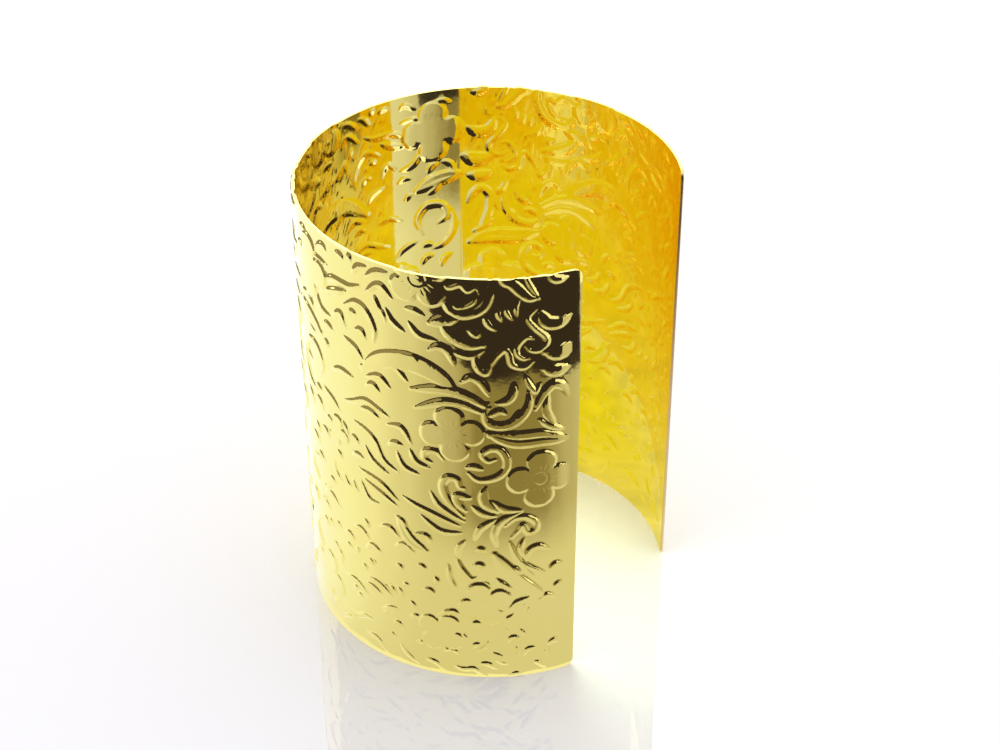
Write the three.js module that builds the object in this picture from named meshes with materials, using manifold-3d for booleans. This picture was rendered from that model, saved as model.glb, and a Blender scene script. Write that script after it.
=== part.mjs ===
// A wide cuff bracelet: one strip of thin plated sheet, embossed with flowers, leaves and scrolls,
// and rolled into an open ring. It stands on one long edge, with +Z up and its gap towards -Y.
// Lengths are millimetres.
import * as THREE from 'three'
import { mergeVertices } from 'three/addons/utils/BufferGeometryUtils.js'
import Module from 'manifold-3d'

const wasm = await Module()
wasm.setup()

// Driving dimensions of the strip and of the ring it is rolled into
const outerDiameter = 62
const height = 78
const sheetThickness = 0.5
const gapAngle = 65.4
const cornerRadius = 1.4

// Driving dimensions of the embossing
const reliefHeight = 0.32
const slopeWidth = 0.45
const strokeUnit = 1
const plainBorder = 2.4
const petalRadius = 2.15
const petalReach = 3.3
const ringRadius = 0.95
const rootDepth = 0.2
const tipDepth = 0.08
const repeats = 3

// The repeat is drawn on squared paper of this many squares, and spread over its stretch of sheet
const chartColumns = 53
const chartRows = 78

// How finely the round shapes are cut into flat facets
const degreesPerFacet = 7
const cornerSteps = 3
const petalSides = 6
const trimReach = 1

const outerRadius = outerDiameter / 2
const innerRadius = outerRadius - sheetThickness
const sheetLength = THREE.MathUtils.degToRad(360 - gapAngle) * outerRadius
const repeatLength = sheetLength / repeats
const squareAcross = repeatLength / chartColumns
const squareUp = height / chartRows
const startAngle = THREE.MathUtils.degToRad(gapAngle / 2 - 90)

// Strokes of the repeat. width is in stroke units, and path is the stroke's middle line in chart
// squares, across and then up. Seen from outside, the chart starts at the strip's right-hand end
// and lower edge, so it runs from right to left.
const strokes = [
  { width: 2.2, path: [[7.0, 73.8], [8.7, 76.0], [10.6, 79.0]] },
  { width: 1.2, path: [[8.8, 74.2], [10.0, 72.6], [9.9, 70.6]] },
  { width: 1.2, path: [[10.4, 74.9], [12.2, 73.7], [12.3, 70.7]] },
  { width: 1.3, path: [[7.2, 72.3], [8.2, 70.6], [6.3, 68.3], [6.1, 65.7], [8.6, 65.8]] },
  { width: 1.3, path: [[8.0, 67.8], [10.2, 67.5], [10.9, 64.8], [9.6, 62.7], [8.0, 63.3]] },
  { width: 1.9, path: [[11.6, 66.4], [14.0, 65.0], [15.5, 61.6]] },
  { width: 1.7, path: [[16.6, 77.4], [14.9, 75.8], [15.4, 73.5], [18.4, 72.0], [20.9, 74.2]] },
  { width: 1.2, path: [[18.9, 77.6], [20.6, 76.9], [22.8, 76.5]] },
  { width: 1.2, path: [[22.0, 69.9], [23.2, 70.8], [21.6, 71.5], [19.4, 70.4]] },
  { width: 1.2, path: [[22.5, 67.2], [25.2, 67.1], [27.0, 69.4]] },
  { width: 1.2, path: [[27.6, 67.5], [29.6, 68.6], [30.6, 71.0]] },
  { width: 2.3, path: [[15.3, 66.7], [18.2, 67.4], [21.4, 68.9]] },
  { width: 1.3, path: [[22.0, 64.2], [23.1, 65.1], [21.6, 65.9], [19.7, 63.4]] },
  { width: 1.3, path: [[16.7, 59.2], [18.1, 59.9], [16.4, 61.0], [14.4, 58.2]] },
  { width: 2.8, path: [[20.3, 60.3], [24.0, 61.6], [28.6, 62.8], [31.6, 61.8], [34.7, 59.4]] },
  { width: 1.2, path: [[14.6, 55.7], [18.2, 57.6], [22.4, 58.1], [26.6, 57.6]] },
  { width: 1.2, path: [[14.9, 54.2], [18.6, 55.6], [22.4, 55.9], [26.2, 54.4]] },
  { width: 1.5, path: [[9.7, 60.0], [8.6, 56.0], [10.5, 52.0], [13.6, 52.0], [12.8, 54.0]] },
  { width: 1.3, path: [[11.5, 60.2], [10.9, 57.8], [13.3, 55.9]] },
  { width: 1.3, path: [[2.2, 56.4], [3.3, 58.4], [5.2, 58.1], [6.7, 55.4]] },
  { width: 1.6, path: [[5.0, 56.6], [4.9, 54.2], [4.0, 51.6]] },
  { width: 1.4, path: [[0.4, 70.6], [3.4, 70.6], [5.5, 69.6], [6.3, 71.3]] },
  { width: 1.5, path: [[0.4, 64.0], [2.8, 64.8], [5.0, 63.6]] },
  { width: 2.8, path: [[2.5, 47.8], [7.8, 48.9], [13.9, 50.2]] },
  { width: 1.6, path: [[14.9, 46.3], [13.0, 47.2], [12.1, 44.4], [14.6, 41.8], [17.4, 43.6]] },
  { width: 1.6, path: [[14.8, 40.1], [15.6, 38.2], [13.3, 35.4]] },
  { width: 1.3, path: [[18.1, 40.3], [20.0, 41.7], [21.6, 39.0], [18.0, 33.6]] },
  { width: 1.3, path: [[17.6, 38.4], [19.2, 37.2], [18.0, 34.8]] },
  { width: 1.2, path: [[19.0, 32.0], [22.6, 33.6], [28.5, 36.0]] },
  { width: 1.2, path: [[19.1, 30.9], [22.2, 30.7], [25.5, 33.0]] },
  { width: 1.3, path: [[8.6, 31.5], [7.0, 32.2], [9.0, 33.8], [11.9, 29.9]] },
  { width: 1.2, path: [[9.6, 35.0], [12.3, 33.6], [13.6, 30.4]] },
  { width: 1.3, path: [[6.0, 25.0], [7.4, 26.2], [6.4, 27.8], [4.4, 26.9]] },
  { width: 1.3, path: [[9.2, 29.4], [9.2, 26.0], [5.4, 22.3]] },
  { width: 2.9, path: [[5.6, 18.0], [9.8, 21.2], [13.8, 27.4]] },
  { width: 1.2, path: [[17.6, 29.9], [19.3, 27.0], [18.1, 23.0], [16.4, 22.0]] },
  { width: 1.2, path: [[29.6, 72.6], [31.4, 74.2], [33.9, 72.2]] },
  { width: 1.3, path: [[32.9, 64.3], [33.6, 68.2], [36.6, 69.5], [38.6, 68.3]] },
  { width: 1.2, path: [[35.3, 72.9], [37.8, 72.0], [40.8, 72.0], [44.6, 69.9]] },
  { width: 1.3, path: [[38.6, 71.0], [40.8, 69.9], [43.3, 69.2]] },
  { width: 1.3, path: [[42.2, 64.3], [44.8, 65.0], [46.4, 66.8]] },
  { width: 1.2, path: [[27.3, 58.5], [28.7, 60.2], [31.4, 60.3]] },
  { width: 1.2, path: [[35.3, 59.8], [36.6, 61.6], [39.0, 62.2]] },
  { width: 1.2, path: [[30.0, 56.3], [31.6, 57.6], [34.5, 56.8]] },
  { width: 1.2, path: [[46.8, 58.8], [48.4, 60.3], [50.6, 60.8]] },
  { width: 1.2, path: [[47.4, 54.2], [48.8, 55.5], [51.2, 55.4]] },
  { width: 1.2, path: [[30.7, 50.9], [34.6, 52.0], [39.8, 49.9]] },
  { width: 1.2, path: [[26.9, 47.0], [28.2, 49.2], [30.8, 49.0]] },
  { width: 1.2, path: [[24.4, 46.0], [22.4, 45.3], [22.3, 43.0], [24.2, 41.1]] },
  { width: 1.2, path: [[25.6, 41.3], [27.8, 41.7], [29.3, 44.3]] },
  { width: 1.2, path: [[29.3, 40.7], [32.2, 42.6], [34.2, 45.9], [37.7, 47.2]] },
  { width: 1.2, path: [[29.4, 35.0], [31.8, 36.7], [36.9, 38.1]] },
  { width: 1.2, path: [[41.0, 47.4], [42.6, 48.9], [45.4, 49.8]] },
  { width: 1.2, path: [[36.0, 12.0], [38.4, 13.4], [42.6, 13.1]] },
  { width: 1.2, path: [[42.3, 14.6], [42.9, 17.0], [45.4, 18.2]] },
  { width: 1.2, path: [[32.4, 1.2], [34.2, 3.4], [37.2, 3.4]] },
  { width: 1.2, path: [[50.2, 28.6], [51.9, 30.6], [51.0, 33.0]] },
]

// Flowers of the repeat: the middle in chart squares, the turn of the first petal in degrees,
// and whether a small raised ring stands at the middle
const flowers = [
  { across: 6.3, up: 40.8, turn: 2, ring: true },
  { across: 20.2, up: 50.2, turn: -9, ring: false },
  { across: 25.4, up: 76.6, turn: -50, ring: true },
  { across: 15.0, up: 16.0, turn: -20, ring: true },
  { across: 22.4, up: 9.2, turn: 35, ring: false },
  { across: 30.6, up: 24.2, turn: 20, ring: false },
  { across: 43.4, up: 42.6, turn: 10, ring: true },
  { across: 49.6, up: 69.4, turn: -4, ring: false },
  { across: 47.6, up: 9.6, turn: 15, ring: true },
]

// Where a chart square lies along the strip, in one of the repeats
function alongOf(across, repeat) {
  return sheetLength - repeat * repeatLength - across * squareAcross
}

// A point of the rolled strip: along from its first end, up from its lower edge, out from the axis
function rolled(along, up, out) {
  const angle = startAngle + along / outerRadius
  return [out * Math.cos(angle), out * Math.sin(angle), up]
}

function solidOf(points, triangles) {
  const mesh = new wasm.Mesh({
    numProp: 3,
    vertProperties: new Float32Array(points.flat()),
    triVerts: new Uint32Array(triangles.flat()),
  })
  return new wasm.Manifold(mesh)
}

// The strip's lower edge at a place along it, where its two corners are rounded
function edgeRise(along) {
  const fromEnd = Math.min(along, sheetLength - along)
  if (fromEnd >= cornerRadius) return 0
  return cornerRadius - Math.sqrt(cornerRadius ** 2 - (cornerRadius - fromEnd) ** 2)
}

// Places along the strip where one flat facet meets the next
function facetPlaces(first, last) {
  const places = []
  const corner = first < cornerRadius ? cornerRadius : 0
  for (let i = 0; i < cornerSteps && corner > 0; i++) {
    const turned = (i / cornerSteps) * (Math.PI / 2)
    places.push(first + corner * (1 - Math.cos(turned)))
  }
  const from = first + corner
  const count = Math.ceil((last - corner - from) / (THREE.MathUtils.degToRad(degreesPerFacet) * outerRadius))
  for (let i = 0; i <= count; i++) places.push(from + ((last - corner - from) * i) / count)
  for (let i = cornerSteps - 1; i >= 0 && corner > 0; i--) {
    const turned = (i / cornerSteps) * (Math.PI / 2)
    places.push(last - corner * (1 - Math.cos(turned)))
  }
  return places
}

// A length of the rolled strip between two radii, with the strip's own edges
function rolledStrip(first, last, low, high) {
  const places = facetPlaces(first, last)
  const points = []
  const triangles = []
  for (const along of places) {
    const rise = edgeRise(along)
    points.push(rolled(along, rise, low), rolled(along, rise, high))
    points.push(rolled(along, height - rise, high), rolled(along, height - rise, low))
  }
  for (let i = 0; i + 1 < places.length; i++) {
    for (let j = 0; j < 4; j++) {
      const a = 4 * i + j
      const b = 4 * i + ((j + 1) % 4)
      triangles.push([a, b + 4, b], [a, a + 4, b + 4])
    }
  }
  const end = 4 * (places.length - 1)
  triangles.push([0, 1, 2], [0, 2, 3], [end, end + 2, end + 1], [end, end + 3, end + 2])
  return solidOf(points, triangles)
}

// A stroke: a roof-shaped ridge along its middle line, widest in the middle and pointed at its ends.
// Its foot lies inside the sheet, so the ridge grows out of the surface.
function ridge(stroke, repeat) {
  const middle = stroke.path.map(([across, up]) => new THREE.Vector3(alongOf(across, repeat), up * squareUp, 0))
  const curve = new THREE.CatmullRomCurve3(middle, false, 'centripetal')
  const steps = middle.length + 1
  const half = (stroke.width * strokeUnit) / 2
  const footHalf = half * (1 + rootDepth / reliefHeight)
  const foot = outerRadius - rootDepth
  const start = curve.getPointAt(0)
  const finish = curve.getPointAt(1)
  const points = [rolled(start.x, start.y, outerRadius - tipDepth)]
  const triangles = []
  for (let i = 1; i < steps; i++) {
    const share = i / steps
    const at = curve.getPointAt(share)
    const along = curve.getTangentAt(share)
    const swell = Math.sin(Math.PI * share) ** 0.5
    const sideX = -along.y * footHalf * swell
    const sideY = along.x * footHalf * swell
    points.push(rolled(at.x + sideX, at.y + sideY, foot))
    points.push(rolled(at.x, at.y, outerRadius + reliefHeight))
    points.push(rolled(at.x - sideX, at.y - sideY, foot))
  }
  points.push(rolled(finish.x, finish.y, outerRadius - tipDepth))
  const last = points.length - 1
  triangles.push([0, 2, 1], [0, 3, 2], [0, 1, 3])
  for (let i = 1; i + 3 < last; i += 3) {
    for (let j = 0; j < 3; j++) {
      const a = i + j
      const b = i + ((j + 1) % 3)
      triangles.push([a, b, b + 3], [a, b + 3, a + 3])
    }
  }
  triangles.push([last, last - 3, last - 2], [last, last - 2, last - 1], [last, last - 1, last - 3])
  return solidOf(points, triangles)
}

// A petal or a flower's ring: a round flat-topped boss with sloping sides
function boss(along, up, radius) {
  const rims = [
    { out: outerRadius - rootDepth, reach: radius + (slopeWidth * rootDepth) / reliefHeight },
    { out: outerRadius + reliefHeight, reach: radius - slopeWidth },
  ]
  const points = []
  const triangles = []
  for (const rim of rims) {
    for (let i = 0; i < petalSides; i++) {
      const turned = (2 * Math.PI * i) / petalSides
      points.push(rolled(along + rim.reach * Math.cos(turned), up + rim.reach * Math.sin(turned), rim.out))
    }
  }
  for (let i = 0; i < petalSides; i++) {
    const next = (i + 1) % petalSides
    triangles.push([i, next, next + petalSides], [i, next + petalSides, i + petalSides])
  }
  for (let i = 1; i + 1 < petalSides; i++) {
    triangles.push([0, i + 1, i], [petalSides, petalSides + i, petalSides + i + 1])
  }
  return solidOf(points, triangles)
}

function flower(row, repeat) {
  const along = alongOf(row.across, repeat)
  const up = row.up * squareUp
  const bosses = []
  for (let i = 0; i < 4; i++) {
    const turned = THREE.MathUtils.degToRad(row.turn + 90 * i)
    bosses.push(boss(along - petalReach * Math.cos(turned), up + petalReach * Math.sin(turned), petalRadius))
  }
  if (row.ring) bosses.push(boss(along, up, ringRadius))
  return bosses
}

// The strip with everything embossed on it, cut off at the strip's edges and short of its plain ends
function embossedStrip() {
  const raised = []
  for (let i = 0; i < repeats; i++) {
    for (const stroke of strokes) raised.push(ridge(stroke, i))
    for (const row of flowers) raised.push(...flower(row, i))
  }
  const bed = rolledStrip(plainBorder, sheetLength - plainBorder, innerRadius, outerRadius + trimReach)
  const relief = wasm.Manifold.union(raised).intersect(bed)
  return rolledStrip(0, sheetLength, innerRadius, outerRadius).add(relief)
}

function geometryOf(solid) {
  const { vertProperties, triVerts } = solid.getMesh()
  const geometry = new THREE.BufferGeometry()
  geometry.setAttribute('position', new THREE.BufferAttribute(vertProperties, 3))
  geometry.setIndex(new THREE.BufferAttribute(triVerts, 1))
  return mergeVertices(geometry)
}

const platedGold = new THREE.MeshStandardMaterial({ color: 0xf2cf6a, roughness: 0.12, metalness: 1 })
const band = new THREE.Mesh(geometryOf(embossedStrip()), platedGold)
band.name = 'cuff_band'
const reach = new THREE.Box3().setFromObject(band)
band.position.set(-(reach.min.x + reach.max.x) / 2, -(reach.min.y + reach.max.y) / 2, 0)

const bracelet = new THREE.Group()
bracelet.add(band)

export default bracelet
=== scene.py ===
# %% [markdown]
# A wide cuff bracelet, made from one strip of thin gold-plated sheet. A press embosses the flat strip
# with flowers, leaves and scrolls, and rollers then bend it into an open ring. This lesson makes it the
# same way: it charts the pattern, presses a flat sheet, rolls it, and then polishes and lights it.

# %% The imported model
import math

import bpy
import numpy as np
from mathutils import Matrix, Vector


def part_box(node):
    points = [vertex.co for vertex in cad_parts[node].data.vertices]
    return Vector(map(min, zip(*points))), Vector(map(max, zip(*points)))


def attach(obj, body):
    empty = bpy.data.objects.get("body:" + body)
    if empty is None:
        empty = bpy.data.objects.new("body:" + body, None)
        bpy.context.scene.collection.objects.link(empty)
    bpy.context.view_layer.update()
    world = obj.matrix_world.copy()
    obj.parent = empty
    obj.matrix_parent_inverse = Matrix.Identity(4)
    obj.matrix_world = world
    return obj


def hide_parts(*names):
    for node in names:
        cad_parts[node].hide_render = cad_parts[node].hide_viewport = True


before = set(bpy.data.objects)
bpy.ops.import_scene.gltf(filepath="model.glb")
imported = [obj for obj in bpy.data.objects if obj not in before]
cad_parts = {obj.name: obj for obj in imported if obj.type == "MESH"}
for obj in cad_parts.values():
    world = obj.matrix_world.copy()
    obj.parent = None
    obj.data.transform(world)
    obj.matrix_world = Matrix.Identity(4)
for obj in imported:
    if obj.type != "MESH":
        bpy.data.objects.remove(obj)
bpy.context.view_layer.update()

# %% [markdown]
# Every size starts from the solid bracelet in the frame. Its box tells how far the embossing reaches
# from the axis, how tall the strip is, and, from where the free ends stop, how wide the gap is.

# %% Sizes of the ring
MM = 0.001
relief_height = 0.32 * MM
sheet_thickness = 0.5 * MM
corner_radius = 1.4 * MM
low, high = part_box("cuff_band")
height = high.z
outer_radius = (high.x - low.x) / 2 - relief_height
axis_y = high.y - outer_radius - relief_height
half_gap = math.acos((axis_y - low.y) / outer_radius)
sheet_length = 2 * (math.pi - half_gap) * outer_radius
print(f"ring {2000 * outer_radius:.1f} mm across and {1000 * height:.1f} mm tall")
print(f"flat strip {1000 * sheet_length:.1f} mm long")

# %% [markdown]
# The pattern repeats three times around the ring. It is charted on squared paper, 53 squares
# along and 78 squares up, starting at the strip's right-hand end as seen from outside. A stroke has a
# width in squares and the points that it passes through. On polished metal the edges of a stroke show
# better than its middle, so most are charted by an edge: the lower one where the light comes from below,
# and the upper one elsewhere.

# %% The pattern's chart: strokes charted by their lower edges
repeats = 3
chart_columns, chart_rows = 53, 78
low_strokes = (
    # width, points of the lower edge
    (2.0, ((7.0, 73.6), (8.6, 74.0), (10.8, 76.4), (12.0, 77.0), (12.7, 78.6))),
    (1.0, ((7.0, 74.2), (8.2, 76.4), (9.1, 78.6))),
    (0.9, ((9.8, 74.4), (10.3, 73.0), (10.2, 71.4))),
    (0.9, ((11.8, 73.4), (11.6, 72.0), (10.9, 70.8))),
    (1.0, ((12.9, 73.0), (12.9, 71.8), (12.5, 70.6))),
    (1.2, ((15.0, 71.4), (14.4, 70.0), (13.4, 68.9))),
    (1.1, ((7.2, 72.2), (8.5, 70.8), (7.5, 69.0), (5.8, 67.1), (5.6, 65.8), (6.6, 64.8), (8.0, 64.9),
           (8.8, 65.8))),
    (1.1, ((7.6, 67.0), (8.8, 67.3), (10.1, 66.0), (10.1, 64.6), (9.2, 63.6), (8.4, 63.5))),
    (1.2, ((7.7, 62.8), (9.0, 61.9), (10.8, 62.6), (11.3, 64.6), (12.0, 65.4), (13.2, 64.2), (14.2, 62.2))),
    (1.3, ((14.1, 62.4), (14.8, 61.1), (15.8, 61.8), (16.3, 63.4), (15.9, 65.0))),
    (1.7, ((14.2, 77.8), (14.1, 75.2), (15.4, 72.4), (18.2, 71.2), (20.2, 72.0), (21.1, 74.2))),
    (1.0, ((15.8, 75.4), (16.2, 76.4), (17.5, 75.8), (18.5, 76.8), (20.2, 76.2), (22.8, 76.0))),
    (0.8, ((16.2, 76.0), (16.6, 74.0), (18.6, 72.6))),
    (0.9, ((18.2, 73.2), (19.0, 72.8), (19.6, 73.2))),
    (2.2, ((19.4, 70.0), (21.4, 69.6), (23.2, 68.8))),
    (2.4, ((15.2, 65.6), (17.8, 66.0), (20.0, 67.2), (21.4, 68.8))),
    (1.0, ((15.8, 69.2), (16.2, 68.0), (17.4, 69.0))),
    (1.0, ((18.0, 67.4), (19.2, 67.8))),
    (1.2, ((15.2, 65.2), (17.2, 64.2), (19.8, 64.7))),
    (1.8, ((8.2, 57.2), (8.3, 54.4), (9.8, 52.1), (12.0, 51.0), (14.2, 51.4), (14.9, 53.2), (14.6, 55.2))),
    (1.5, ((10.6, 59.0), (10.7, 57.0), (11.6, 55.8), (13.2, 55.4))),
    (1.4, ((2.6, 49.2), (4.6, 50.2), (6.6, 51.8))),
    (1.2, ((6.6, 58.6), (7.2, 57.3), (8.2, 58.6), (8.8, 60.4))),
    (1.6, ((2.6, 76.6), (4.2, 76.6), (5.6, 77.6))),
    (2.4, ((1.8, 69.6), (3.6, 68.6), (5.6, 69.0), (6.6, 71.0))),
    (3.0, ((1.0, 63.8), (3.4, 63.0), (5.8, 63.4))),
    (2.4, ((2.0, 60.2), (4.0, 60.0), (6.0, 60.6))),
    (1.2, ((7.0, 20.4), (9.4, 24.2), (11.0, 28.0))),
    (1.1, ((7.4, 18.4), (8.8, 20.0), (10.2, 22.0))),
    (1.1, ((10.8, 18.8), (12.0, 19.8), (13.2, 21.0))),
    (1.0, ((7.9, 8.4), (8.7, 9.1), (9.5, 10.0))),
    (1.0, ((11.2, 2.5), (12.2, 2.9), (13.6, 3.8))),
    (1.0, ((9.3, 4.4), (9.7, 5.4), (10.2, 6.4))),
    (1.0, ((4.9, 2.9), (5.0, 3.8), (5.4, 4.8))),
    (1.1, ((14.4, 7.8), (15.2, 6.4), (16.6, 5.4))),
    (1.0, ((13.4, 12.6), (14.1, 12.5), (14.8, 11.9))),
    (1.0, ((1.7, 6.9), (1.9, 7.6), (2.3, 8.4))),
    (1.2, ((6.4, 8.4), (8.2, 11.6), (8.7, 15.0))),
    (1.0, ((10.9, 13.2), (11.5, 12.4), (11.2, 11.2))),
)

# %% The pattern's chart: strokes charted by their upper edges
high_strokes = (
    # width, points of the upper edge
    (1.5, ((19.6, 63.4), (20.5, 65.7), (22.0, 66.4), (23.4, 65.4))),
    (1.5, ((14.4, 58.0), (15.5, 60.4), (17.1, 61.3), (18.5, 60.2))),
    (3.6, ((19.6, 59.7), (22.4, 62.2), (26.6, 63.6), (31.4, 62.6), (35.2, 59.6))),
    (1.9, ((14.4, 55.9), (18.0, 58.1), (21.8, 58.8), (26.5, 57.9))),
    (1.6, ((15.0, 54.6), (18.2, 56.2), (21.6, 56.3), (25.9, 54.4))),
    (1.3, ((11.8, 54.4), (12.8, 55.0), (14.6, 54.0))),
    (1.4, ((9.8, 54.8), (10.6, 53.0), (12.4, 52.2))),
    (1.8, ((1.9, 56.4), (2.8, 58.4), (4.4, 59.2), (5.9, 57.8), (7.2, 55.0))),
    (1.7, ((5.3, 57.4), (5.6, 54.6), (4.1, 51.3))),
    (1.5, ((13.4, 45.9), (14.6, 45.6), (15.4, 46.9), (14.2, 48.0), (12.6, 47.7), (11.6, 45.6), (12.0, 43.6),
           (13.6, 42.3), (16.0, 41.9), (17.6, 43.2))),
    (1.3, ((15.4, 43.9), (16.8, 44.4), (17.9, 44.1))),
    (2.0, ((14.9, 40.6), (15.2, 38.7), (14.5, 37.1), (13.1, 36.0))),
    (1.5, ((9.3, 35.6), (12.0, 36.1), (13.8, 37.7))),
    (1.4, ((13.4, 34.7), (15.4, 35.3), (17.0, 36.6))),
    (1.7, ((17.4, 38.4), (19.4, 38.6), (19.2, 37.0), (18.1, 35.8))),
    (1.6, ((18.3, 40.2), (19.0, 40.4), (19.4, 41.8), (20.9, 42.0), (21.7, 40.2), (20.8, 37.4),
           (18.4, 34.5))),
    (1.2, ((23.7, 38.6), (22.5, 36.3), (20.6, 34.8), (18.3, 33.4))),
    (1.2, ((28.6, 36.3), (26.4, 35.3), (23.4, 34.2), (19.1, 32.4))),
    (1.2, ((25.5, 33.4), (22.2, 31.0), (18.9, 31.0))),
    (1.3, ((11.8, 32.6), (10.4, 34.0), (8.6, 34.2), (7.0, 33.0), (7.0, 31.4), (8.2, 31.0), (9.0, 32.6),
           (9.7, 31.6), (10.8, 30.2))),
    (1.5, ((9.4, 35.3), (12.4, 33.8), (13.6, 31.4), (13.2, 28.8))),
    (1.3, ((13.4, 34.0), (15.8, 32.2), (16.7, 29.9))),
    (1.4, ((21.5, 45.2), (22.4, 46.6), (24.2, 46.5), (24.6, 45.0), (23.4, 44.4))),
    (1.3, ((4.8, 26.9), (6.3, 27.9), (7.9, 27.3), (8.6, 25.2))),
    (1.2, ((8.9, 29.7), (9.4, 27.8), (8.7, 25.9))),
    (1.2, ((11.1, 29.2), (9.4, 25.1), (5.4, 22.1))),
    (2.7, ((13.5, 27.6), (11.8, 24.9), (9.6, 21.8), (5.4, 18.0))),
    (1.2, ((7.4, 18.5), (9.0, 19.7), (11.2, 21.8))),
    (1.2, ((10.9, 19.3), (12.2, 20.5), (13.2, 21.4))),
    (1.3, ((7.9, 17.4), (10.2, 16.4), (11.7, 14.3))),
    (1.3, ((8.0, 15.0), (8.6, 13.0), (7.8, 10.4), (6.2, 7.9))),
    (1.2, ((10.5, 14.1), (11.4, 12.5), (10.7, 10.9))),
    (1.2, ((19.0, 14.0), (20.6, 14.5), (23.1, 12.9))),
    (1.2, ((11.8, 4.5), (13.0, 5.3), (13.9, 5.9))),
    (1.2, ((14.9, 0.7), (16.9, 2.3), (18.7, 2.1), (20.4, 2.7))),
    (1.2, ((16.5, 22.0), (17.4, 21.8), (18.9, 23.8), (19.6, 25.8))),
    (1.2, ((19.6, 19.1), (20.7, 21.3), (21.0, 24.1))),
    (1.2, ((18.3, 29.5), (19.3, 27.9), (19.4, 25.9))),
    (1.2, ((23.9, 28.0), (24.5, 29.4), (26.7, 29.3))),
    (1.2, ((22.4, 67.2), (25.0, 67.7), (26.6, 69.6))),
    (1.2, ((27.4, 67.7), (29.4, 69.1), (30.4, 70.9))),
    (1.2, ((29.3, 73.0), (31.4, 74.8), (34.0, 72.7))),
    (1.2, ((31.3, 70.3), (32.0, 71.3), (32.3, 72.5))),
    (1.3, ((32.9, 64.1), (32.6, 66.4), (34.0, 69.2), (36.0, 70.1), (38.7, 68.5))),
    (1.2, ((34.4, 63.9), (35.2, 65.3), (36.5, 64.9))),
    (1.3, ((30.1, 77.4), (32.0, 76.9), (33.8, 75.5))),
    (1.2, ((33.9, 77.1), (35.4, 76.5), (36.6, 74.9))),
    (1.3, ((35.2, 73.3), (37.5, 72.3), (40.6, 72.2), (42.6, 71.4), (44.7, 69.8))),
    (1.6, ((38.7, 71.1), (40.8, 70.0), (43.2, 69.2))),
    (1.2, ((42.6, 76.1), (43.6, 76.8), (45.6, 75.6))),
    (1.2, ((38.6, 64.1), (39.5, 66.3), (40.4, 66.2), (41.8, 64.8))),
    (1.3, ((42.3, 64.5), (44.9, 65.1), (46.8, 68.0))),
    (1.2, ((35.1, 59.9), (36.6, 61.6), (39.1, 62.5))),
    (1.2, ((27.1, 58.7), (29.2, 60.8), (31.6, 60.4))),
    (1.2, ((30.1, 56.5), (32.1, 58.1), (34.7, 57.0))),
    (1.2, ((32.1, 55.1), (33.4, 56.1), (34.8, 55.1))),
    (1.2, ((47.4, 58.7), (48.9, 59.4), (50.2, 60.7))),
    (1.3, ((30.6, 51.0), (32.8, 51.9), (35.0, 52.4), (37.6, 51.1), (39.9, 50.2))),
    (1.2, ((26.7, 47.0), (28.4, 49.7), (31.0, 49.4))),
    (1.2, ((25.5, 41.4), (28.1, 42.3), (29.3, 44.8))),
    (1.3, ((29.2, 40.8), (31.8, 42.3), (33.4, 45.4), (35.4, 46.8), (37.7, 47.3))),
    (1.2, ((30.9, 39.7), (33.9, 41.3), (35.5, 43.6))),
    (1.3, ((29.3, 35.0), (32.6, 37.4), (37.2, 38.4))),
    (1.2, ((29.5, 33.8), (32.5, 35.3), (36.1, 36.7))),
    (1.2, ((32.9, 32.9), (35.1, 33.2), (36.8, 36.2))),
    (1.2, ((40.9, 47.2), (42.6, 48.7), (45.5, 49.8))),
    (1.2, ((39.3, 42.8), (39.7, 44.9), (41.0, 45.7))),
    (1.2, ((42.4, 42.0), (43.5, 41.5), (44.7, 42.4))),
    (1.3, ((32.3, 1.5), (34.4, 3.6), (37.0, 3.8))),
    (1.2, ((42.4, 14.9), (43.7, 18.1), (45.7, 18.4))),
    (1.3, ((35.9, 12.1), (38.9, 13.9), (42.3, 13.3))),
    (1.3, ((34.9, 7.4), (37.2, 7.2), (39.0, 6.2), (41.2, 6.2))),
    (1.2, ((26.5, 1.6), (28.6, 3.1), (29.9, 5.0))),
    (1.5, ((50.0, 28.4), (52.0, 30.6), (51.0, 33.0), (48.6, 33.8))),
    (1.6, ((46.6, 51.0), (45.4, 54.0), (47.2, 56.6), (50.2, 56.4), (51.0, 54.0), (49.2, 52.8))),
    (1.4, ((48.0, 47.6), (50.6, 48.6), (52.2, 51.6), (51.8, 55.4))),
    (1.4, ((47.0, 13.6), (50.0, 14.8), (51.6, 17.6), (50.2, 20.0))),
    (1.3, ((42.0, 27.0), (44.6, 28.6), (46.8, 27.4), (47.0, 25.2))),
)

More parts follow.
